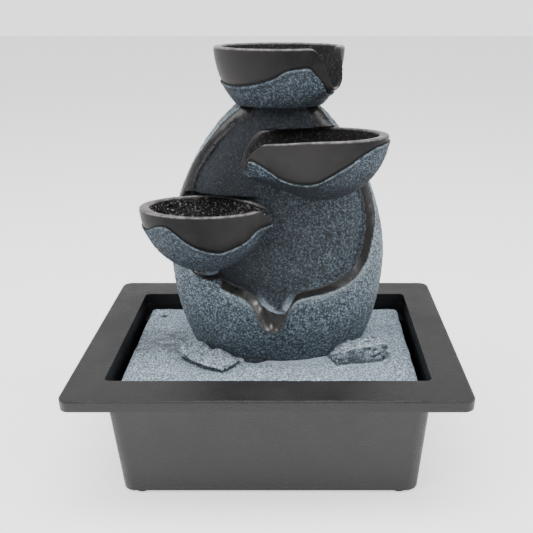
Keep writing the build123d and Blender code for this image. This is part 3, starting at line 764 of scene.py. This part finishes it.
class Look:
    """A node tree with short ways to add nodes.  Sizes are in millimetres."""

    def __init__(self, tree):
        self.nodes, self.links = tree.nodes, tree.links
        self.shader = tree.nodes.get("Principled BSDF")

    def feed(self, socket, value):
        """Links a value from another node, or sets a plain number or colour."""
        if hasattr(value, "links"):
            self.links.new(value, socket)
        elif isinstance(value, tuple):
            socket.default_value = (*value, 1)
        else:
            socket.default_value = value

    def put(self, name, value):
        self.feed(self.shader.inputs[name], value)

    def places(self, space="Object"):
        """The X, Y and Z of a point, in metres."""
        coordinates = self.nodes.new("ShaderNodeTexCoord")
        split = self.nodes.new("ShaderNodeSeparateXYZ")
        self.links.new(coordinates.outputs[space], split.inputs[0])
        return split.outputs[0], split.outputs[1], split.outputs[2]

    def noise(self, size, detail=3.0, rough=0.6, stretch=(1, 1, 1)):
        """Noise with features of the given size."""
        coordinates = self.nodes.new("ShaderNodeTexCoord")
        scale = self.nodes.new("ShaderNodeMapping")
        scale.inputs["Scale"].default_value = stretch
        self.links.new(coordinates.outputs["Object"], scale.inputs["Vector"])
        texture = self.nodes.new("ShaderNodeTexNoise")
        texture.inputs["Scale"].default_value = 1.0 / (size * MM)
        texture.inputs["Detail"].default_value = detail
        texture.inputs["Roughness"].default_value = rough
        self.links.new(scale.outputs["Vector"], texture.inputs["Vector"])
        return texture.outputs["Fac"]

    def colour_ramp(self, value, stops):
        node = self.nodes.new("ShaderNodeValToRGB")
        while len(node.color_ramp.elements) < len(stops):
            node.color_ramp.elements.new(0.5)
        for element, (at, colour) in zip(node.color_ramp.elements, sorted(stops)):
            element.position = at
            element.color = (*colour, 1)
        self.feed(node.inputs["Fac"], value)
        return node.outputs["Color"]

    def value_ramp(self, value, low, high, out_low=0.0, out_high=1.0):
        node = self.nodes.new("ShaderNodeMapRange")
        for name, setting in (("From Min", low), ("From Max", high), ("To Min", out_low),
                              ("To Max", out_high), ("Value", value)):
            self.feed(node.inputs[name], setting)
        return node.outputs["Result"]

    def mix(self, data_type, values, sockets, result):
        node = self.nodes.new("ShaderNodeMix")
        node.data_type = data_type
        for socket, value in zip(sockets, values):
            self.feed(node.inputs[socket], value)
        return node.outputs[result]

    def mix_colour(self, *factor_a_b):
        return self.mix("RGBA", factor_a_b, (0, 6, 7), 2)

    def mix_value(self, *factor_a_b):
        return self.mix("FLOAT", factor_a_b, (0, 2, 3), 0)

    def maths(self, operation, *values):
        """A sum on values; a product is kept between 0 and 1."""
        node = self.nodes.new("ShaderNodeMath")
        node.operation = operation
        node.use_clamp = operation == "MULTIPLY"
        for socket, value in zip(node.inputs, values):
            self.feed(socket, value)
        return node.outputs[0]

    def mark(self, label):
        """A value that field_mesh stored on the points of the mesh."""
        node = self.nodes.new("ShaderNodeAttribute")
        node.attribute_name = label
        return node.outputs["Fac"]

    def fade_to(self, base, label, share, colour):
        """Mixes a colour in where a mark on the mesh says so."""
        return self.mix_colour(self.maths("MULTIPLY", self.mark(label), share), base, colour)

    def bump(self, height, distance):
        node = self.nodes.new("ShaderNodeBump")
        node.inputs["Strength"].default_value = 1.0
        node.inputs["Distance"].default_value = distance * MM
        self.links.new(height, node.inputs["Height"])
        self.put("Normal", node.outputs["Normal"])

    def grain_height(self, size):
        """Height of the cast grit: coarse grains with finer ones on them."""
        coarse = self.noise(size, 4.0, 0.68)
        fine = self.noise(size * 0.45, 3.0, 0.65)
        return self.mix_value(0.4, coarse, fine)

    def stone_colour(self, height, tone, low=0.39, high=0.62):
        """Dry-brushed stone: dark in the hollows of the grit, pale on its highest grains."""
        stops = []
        for at, gain, lift in ((0.0, 0.16, 0.0), (0.42, 0.72, 0.0), (0.62, 1.20, 0.0),
                               (1.0, 3.2, 0.02)):
            colour = tuple(min(1.0, c * gain + lift) for c in tone)
            stops.append((low + (high - low) * at, colour))
        return self.colour_ramp(height, stops)

    def glaze_colour(self, cloud):
        return self.colour_ramp(cloud, [(0.36, GLAZE_DARK), (0.66, GLAZE_LIGHT)])


def new_material(name):
    material = bpy.data.materials.new(name)
    material.use_nodes = True
    return material, Look(material.node_tree)


def bowl_material(name, wet, inside_sparkle, shaded):
    """Grey cast stone below, near-black satin glaze above, by the marks on the mesh.

    wet is the roughness inside the bowl, inside_sparkle how pale its flecks of painted
    sparkle are, and shaded how dark the painted shade on its underside is.
    """
    material, look = new_material(name)
    look.put("Specular IOR Level", 0.13)
    height = look.grain_height(1.15)
    stone = look.stone_colour(height, STONE_TONE, 0.42, 0.60)
    patch = look.noise(16.0, 2.0)
    greyer = look.value_ramp(patch, 0.42, 0.66, 0.0, 0.45)
    stone = look.mix_colour(greyer, stone, (0.070, 0.073, 0.078))
    # Painted shade on the underside
    stone = look.fade_to(stone, "under", shaded, (0.012, 0.014, 0.018))
    # Painted highlight along the stone skin's edge
    ragged = look.value_ramp(look.noise(2.6, 3.0), 0.40, 0.60, 0.0, 0.75)
    line = look.maths("MULTIPLY", look.mark("edge"), ragged)
    stone = look.mix_colour(line, stone, PALE_EDGE)
    cloud = look.noise(11.0, 3.0)
    glaze = look.glaze_colour(cloud)
    # Painted sheen on the glaze
    glaze = look.fade_to(glaze, "sheen", 0.75, GLAZE_SHEEN)
    # Painted shade in the groove above the stone skin's edge
    glaze = look.fade_to(glaze, "groove", 0.75, (0.004, 0.004, 0.0045))
    # Painted highlight along the rim, broken up by noise
    rim_highlight = look.value_ramp(look.noise(3.2, 2.0), 0.38, 0.60, 0.35, 0.9)
    rim_highlight = look.maths("MULTIPLY", look.mark("rim"), rim_highlight)
    glaze = look.mix_colour(rim_highlight, glaze, GLAZE_RIM_HIGHLIGHT)
    # Pale flecks inside the bowl: painted sparkle
    wear_and_highlight = look.value_ramp(look.noise(1.3, 2.0), 0.55, 0.70, 0.0, inside_sparkle)
    dark_inside = look.mix_colour(wear_and_highlight, (0.0170, 0.0160, 0.0160), (0.340, 0.330, 0.320))
    glaze = look.mix_colour(look.mark("inside"), glaze, dark_inside)
    look.put("Base Color", look.mix_colour(look.mark("stone"), glaze, stone))
    smear = look.value_ramp(cloud, 0.3, 0.7, 0.30, 0.44)
    smear = look.mix_value(look.mark("rim"), smear, 0.26)
    inner_rough = look.mix_value(look.mark("inside"), smear, wet)
    look.put("Roughness", look.mix_value(look.mark("stone"), inner_rough, 0.62))
    faint = look.maths("MULTIPLY", cloud, 0.12)
    pitted = look.mix_value(look.mark("inside"), faint, height)
    look.bump(look.mix_value(look.mark("stone"), pitted, height), 1.7)
    return material


def body_material():
    """Dry-brushed grey stone, a darker scooped floor and a smooth dark cut edge."""
    material, look = new_material("body_stone")
    look.put("Specular IOR Level", 0.38)
    height = look.grain_height(1.35)
    shell = look.stone_colour(height, SHELL_TONE, 0.43, 0.58)
    floor = look.stone_colour(height, FLOOR_TONE, 0.38, 0.68)
    x, _, z = look.places()
    patch = look.noise(20.0, 2.0)
    lowness = look.maths("MULTIPLY", look.value_ramp(z, 122 * MM, 74 * MM), patch)
    shell = look.mix_colour(lowness, shell, (0.022, 0.030, 0.040))
    # Painted light: the floor lighter towards the right, in patches
    lit = look.maths("MULTIPLY", look.value_ramp(x, -22 * MM, 34 * MM, 0.0, 0.62), patch)
    floor = look.mix_colour(lit, floor, shell)
    # Painted shade on the floor under the top bowl
    under_top = look.value_ramp(z, 188 * MM, 214 * MM, 0.0, 0.6)
    floor = look.mix_colour(under_top, floor, (0.010, 0.013, 0.018))
    stone = look.mix_colour(look.mark("floor"), shell, floor)
    # Pale shelves, with the painted highlight along the textured skin's edge in the V
    stone = look.fade_to(stone, "light", 0.70, (0.30, 0.37, 0.42))
    # Painted highlight along the cut edge
    ragged = look.value_ramp(height, 0.40, 0.58, 0.25, 1.0)
    line = look.maths("MULTIPLY", look.mark("edge"), ragged)
    stone = look.mix_colour(line, stone, PALE_EDGE)
    # Painted shade and shadow from the dark mark
    stone = look.fade_to(stone, "dark", 0.95, (0.004, 0.004, 0.005))
    cloud = look.noise(9.0, 3.0)
    glaze = look.glaze_colour(cloud)
    # Painted highlight along the V's raised lips
    glaze = look.fade_to(glaze, "bead", 0.7, (0.040, 0.036, 0.034))
    # Painted glints on the V's glaze
    glaze = look.fade_to(glaze, "glint", 0.65, (0.40, 0.385, 0.37))
    look.put("Base Color", look.mix_colour(look.mark("band"), stone, glaze))
    smear = look.value_ramp(cloud, 0.3, 0.7, 0.24, 0.40)
    look.put("Roughness", look.mix_value(look.mark("band"), 0.55, smear))
    faint = look.maths("MULTIPLY", cloud, 0.25)
    look.bump(look.mix_value(look.mark("band"), height, faint), 3.0)
    return material


def rock_material():
    """Pale matt stone, with painted shade on its sides, low down and on its front."""
    material, look = new_material("rock_stone")
    look.put("Specular IOR Level", 0.30)
    height = look.grain_height(1.2)
    stone = look.stone_colour(height, ROCK_TONE)
    # Painted shade on the sides, low down and on the front
    stone = look.fade_to(stone, "rock_shade", 0.85, (0.020, 0.026, 0.034))
    look.put("Base Color", stone)
    look.put("Roughness", 0.88)
    look.bump(height, 1.1)
    return material


def plate_material():
    """Pale grit with a brownish worn patch and a bright skirt where the body stands."""
    material, look = new_material("plate_stone")
    look.put("Specular IOR Level", 0.30)
    height = look.grain_height(1.1)
    stone = look.stone_colour(height, PLATE_TONE)
    flecks = look.noise(4.0, 4.0, 0.65, (0.45, 1.3, 1))
    flecks = look.value_ramp(flecks, 0.46, 0.60, 0.20, 0.85)
    flecks = look.maths("MULTIPLY", flecks, look.mark("streak"))
    stone = look.mix_colour(flecks, stone, (0.085, 0.085, 0.090))
    stone = look.fade_to(stone, "light", 0.55, (0.36, 0.42, 0.47))
    stone = look.mix_colour(look.mark("pit"), stone, (0.010, 0.011, 0.013))
    look.put("Base Color", stone)
    look.put("Roughness", 0.88)
    look.bump(height, 0.9)
    return material


def plastic_material(name, colour, size, depth, rough=(0.42, 0.58), spread=0.25):
    """Moulded plastic or rubber: fine grain, slight colour clouds, uneven sheen."""
    material, look = new_material(name)
    grain = look.noise(size, 2.0, 0.5)
    cloud = look.noise(28.0, 3.0)
    darker = tuple(c * (1 - spread) for c in colour)
    lighter = tuple(c * (1 + spread) for c in colour)
    tone = look.colour_ramp(cloud, [(0.35, darker), (0.65, lighter)])
    speck = look.value_ramp(grain, 0.35, 0.70, 0.0, 0.30)
    look.put("Base Color", look.mix_colour(speck, tone, tuple(c * 1.9 for c in colour)))
    look.put("Roughness", look.value_ramp(cloud, 0.35, 0.65, *rough))
    look.bump(grain, depth)
    return material, look


def basin_material():
    """Warm charcoal moulded plastic, with painted light up the outer wall and painted shade inside
    the basin.
    """
    material, look = plastic_material(
        "basin_plastic", (0.0120, 0.0114, 0.0116), 0.7, 0.42, (0.34, 0.48))
    look.put("Specular IOR Level", 0.34)
    x, y, z = look.places()
    # Mask of the basin's inner faces, where painted shade goes
    sink = look.maths("SUBTRACT", RIM_TOP * MM, z)
    draft = look.maths("MULTIPLY", sink, WALL_DRAFT)
    inside = look.value_ramp(sink, 0.2 * MM, 1.0 * MM)
    for place, half in ((x, OPEN_X), (y, OPEN_Y)):
        out = look.maths("ADD", look.maths("ABSOLUTE", place), draft)
        within = look.value_ramp(out, (half + 1.2) * MM, (half + 0.9) * MM)
        inside = look.maths("MULTIPLY", inside, within)
    base = look.shader.inputs["Base Color"].links[0].from_socket
    # Painted light: the outer wall lighter towards the top
    wall_top_light = look.value_ramp(z, 8 * MM, 72 * MM, 0.0, 0.75)
    on_wall = look.value_ramp(z, 72.5 * MM, 76 * MM, 1.0, 0.2)
    wall_top_light = look.maths("MULTIPLY", wall_top_light, on_wall)
    base = look.mix_colour(wall_top_light, base, (0.034, 0.0325, 0.0325))
    # Painted shade inside the basin
    look.put("Base Color", look.mix_colour(inside, base, (0.0035, 0.0037, 0.0042)))
    return material


def metal_material(name, colour, rough, stretch):
    """Bare metal with fine lines along one axis."""
    material, look = new_material(name)
    lines = look.noise(0.8, 2.0, 0.5, stretch)
    darker = tuple(c * 0.7 for c in colour)
    look.put("Base Color", look.colour_ramp(lines, [(0.35, darker), (0.65, colour)]))
    look.put("Metallic", 1.0)
    look.put("Roughness", look.value_ramp(lines, 0.3, 0.7, rough, rough + 0.2))
    look.bump(lines, 0.15)
    return material


def dress(node, material):
    """Gives a CAD node its material."""
    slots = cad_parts[node].data.materials
    slots.clear()
    slots.append(material)


def dress_cad_nodes():
    basin = basin_material()
    black = plastic_material("pump_plastic", (0.022, 0.022, 0.024), 0.7, 0.12)[0]
    rubber = plastic_material("rubber", (0.020, 0.020, 0.020), 1.2, 0.10, (0.65, 0.8))[0]
    vinyl = plastic_material("hose_vinyl", (0.55, 0.58, 0.58), 3.0, 0.05, (0.25, 0.35), 0.06)[0]
    resin = plastic_material("potting_resin", (0.018, 0.018, 0.019), 5.0, 0.15, (0.15, 0.3))[0]
    ferrite = plastic_material("magnet_ferrite", (0.060, 0.060, 0.064), 0.5, 0.08)[0]
    ceramic = plastic_material("shaft_ceramic", (0.74, 0.72, 0.68), 4.0, 0.02, (0.2, 0.3), 0.05)[0]
    steel = metal_material("lamination_steel", (0.42, 0.43, 0.45), 0.35, (8, 1, 1))
    copper = metal_material("copper_wire", (0.62, 0.27, 0.13), 0.3, (1, 1, 6))
    wanted = {
        "basin": basin, "cord_grommet": rubber, "hose": vinyl,
        "inlet_fitting": black, "pump_housing": black, "stator_core": steel,
        "stator_coil": copper, "pump_potting": resin, "pump_gland": rubber,
        "chamber_cover": black, "chamber_seal": rubber, "rotor_shaft": ceramic,
        "front_bush": rubber, "rear_bush": rubber, "rotor_magnet": ferrite,
        "impeller": black, "intake_cover": black, "flow_slider": black,
        "suction_cups": rubber}
    for node, material in wanted.items():
        dress(node, material)
    return rubber


# ================ pieces in place
def place(piece, material, node, slot, body="sculpture"):
    piece.data.materials.append(material)
    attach(piece, body)
    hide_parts(node)


def build_pieces(rubber):
    smooth_bowl = bowl_material("bowl_glaze", 0.30, 0.18, 0.72)
    # Copy with stronger painted shade on the underside, for the right bowl
    shaded_bowl = bowl_material("shaded_bowl_glaze", 0.30, 0.18, 0.88)
    rough_bowl = bowl_material("rough_bowl_glaze", 0.12, 0.85, 0.60)
    place(make_body(), body_material(), "sculpture_body", "sculpture_stone")
    place(TOP_BOWL.mesh("cast_top_bowl"), smooth_bowl, "top_bowl", "bowl_glaze")
    place(RIGHT_BOWL.mesh("cast_right_bowl"), shaded_bowl, "right_bowl", "bowl_glaze")
    place(LEFT_BOWL.mesh("cast_left_bowl"), rough_bowl, "left_bowl", "bowl_glaze")
    rock = rock_material()
    left = make_stone("cast_left_stone", STONE_LEFT, top=77.4, tilt=(-0.02, 0.17),
                      undercut=1.6, shade=0.5, seed=5,
                      cuts=[((-24.0, -27.0, 76.2), (0.55, -0.30, 0.78)),
                            ((-34.5, -14.0, 79.2), (0.45, 0.25, 0.85))])
    right = make_stone("cast_right_stone", STONE_RIGHT, top=80.0, tilt=(0.05, 0.16),
                       undercut=2.2, shade=0.85, seed=8,
                       cuts=[((44.0, -22.0, 77.5), (-0.55, -0.35, 0.76)),
                             ((58.0, -18.5, 79.5), (0.15, -0.85, 0.42)),
                             ((69.0, -10.0, 80.5), (0.65, 0.30, 0.70))])
    place(left, rock, "rock_left", "rock_stone")
    place(right, rock, "rock_right", "rock_stone")
    plate = field_mesh("grit_plate", plate_solid, PLATE_LOW - 1.5, PLATE_HIGH + 1.5, PLATE_GRID,
                       plate_marks, plate_relief)
    place(plate, plate_material(), "stone_plate", "plate_stone")
    reach = (FOOT_X + FOOT_R + 1, FOOT_Y + FOOT_R + 1)
    feet = field_mesh("basin_feet", feet_solid, (-reach[0], -reach[1], -0.6), (*reach, 3.0),
                      FOOT_GRID)
    place(feet, rubber, "rubber_feet", "rubber", "base")


# ================ stage, light, camera
def make_stage():
    """Pale floor and a studio sky: bright low down, darker overhead."""
    mesh = bpy.data.meshes.new("floor")
    half = 4.0
    mesh.from_pydata([(-half, -half, 0), (half, -half, 0), (half, half, 0), (-half, half, 0)],
                     [], [(0, 1, 2, 3)])
    floor = bpy.data.objects.new("floor", mesh)
    bpy.context.scene.collection.objects.link(floor)
    material, look = new_material("floor_white")
    look.put("Base Color", (0.90, 0.90, 0.90))
    look.put("Roughness", 0.9)
    look.put("Emission Color", (1, 1, 1))
    look.put("Emission Strength", 0.95)
    mesh.materials.append(material)

    world = bpy.data.worlds.new("studio")
    bpy.context.scene.world = world
    world.use_nodes = True
    look = Look(world.node_tree)
    _, y, z = look.places("Generated")
    height = look.colour_ramp(z, [
        (0.0, (2.0, 2.0, 2.0)), (0.36, (1.5, 1.5, 1.5)), (0.52, (0.30, 0.30, 0.31)),
        (0.80, (0.30, 0.30, 0.31)), (1.0, (0.55, 0.55, 0.55))])
    front = look.value_ramp(y, 0.15, -0.35)
    sky = look.mix_colour(front, height, (0.80, 0.80, 0.80))
    look.feed(look.nodes["Background"].inputs["Color"], sky)


def area_light(name, where, aim, size, power):
    """Soft rectangular light that points at the object."""
    data = bpy.data.lights.new(name, "AREA")
    data.shape = "RECTANGLE"
    data.size, data.size_y = size
    data.energy = power
    light = bpy.data.objects.new(name, data)
    light.location = where
    direction = np.array(aim) - np.array(where)
    yaw = math.atan2(direction[1], direction[0]) - math.pi / 2
    tilt = math.atan2(direction[2], math.hypot(direction[0], direction[1]))
    light.rotation_euler = Euler((math.pi / 2 + tilt, 0, yaw), "XYZ")
    bpy.context.scene.collection.objects.link(light)


def make_lights():
    aim = (0, 0, 0.13)
    area_light("soft_left", (-0.8, -0.35, 0.9), aim, (0.7, 0.7), 9)
    area_light("soft_right", (0.9, -0.25, 0.8), aim, (0.7, 0.7), 8)
    area_light("overhead", (0.0, -0.12, 1.1), aim, (0.9, 0.35), 12)


def make_camera():
    data = bpy.data.cameras.new("camera")
    data.sensor_width = 36.0
    data.lens = CAMERA_LENS
    data.shift_x, data.shift_y = CAMERA_SHIFT
    camera = bpy.data.objects.new("camera", data)
    camera.location = CAMERA_PLACE
    camera.rotation_euler = Euler((math.radians(90 - CAMERA_DOWN), 0, 0), "XYZ")
    bpy.context.scene.collection.objects.link(camera)
    bpy.context.scene.camera = camera


make_camera()
make_stage()
make_lights()
build_pieces(dress_cad_nodes())
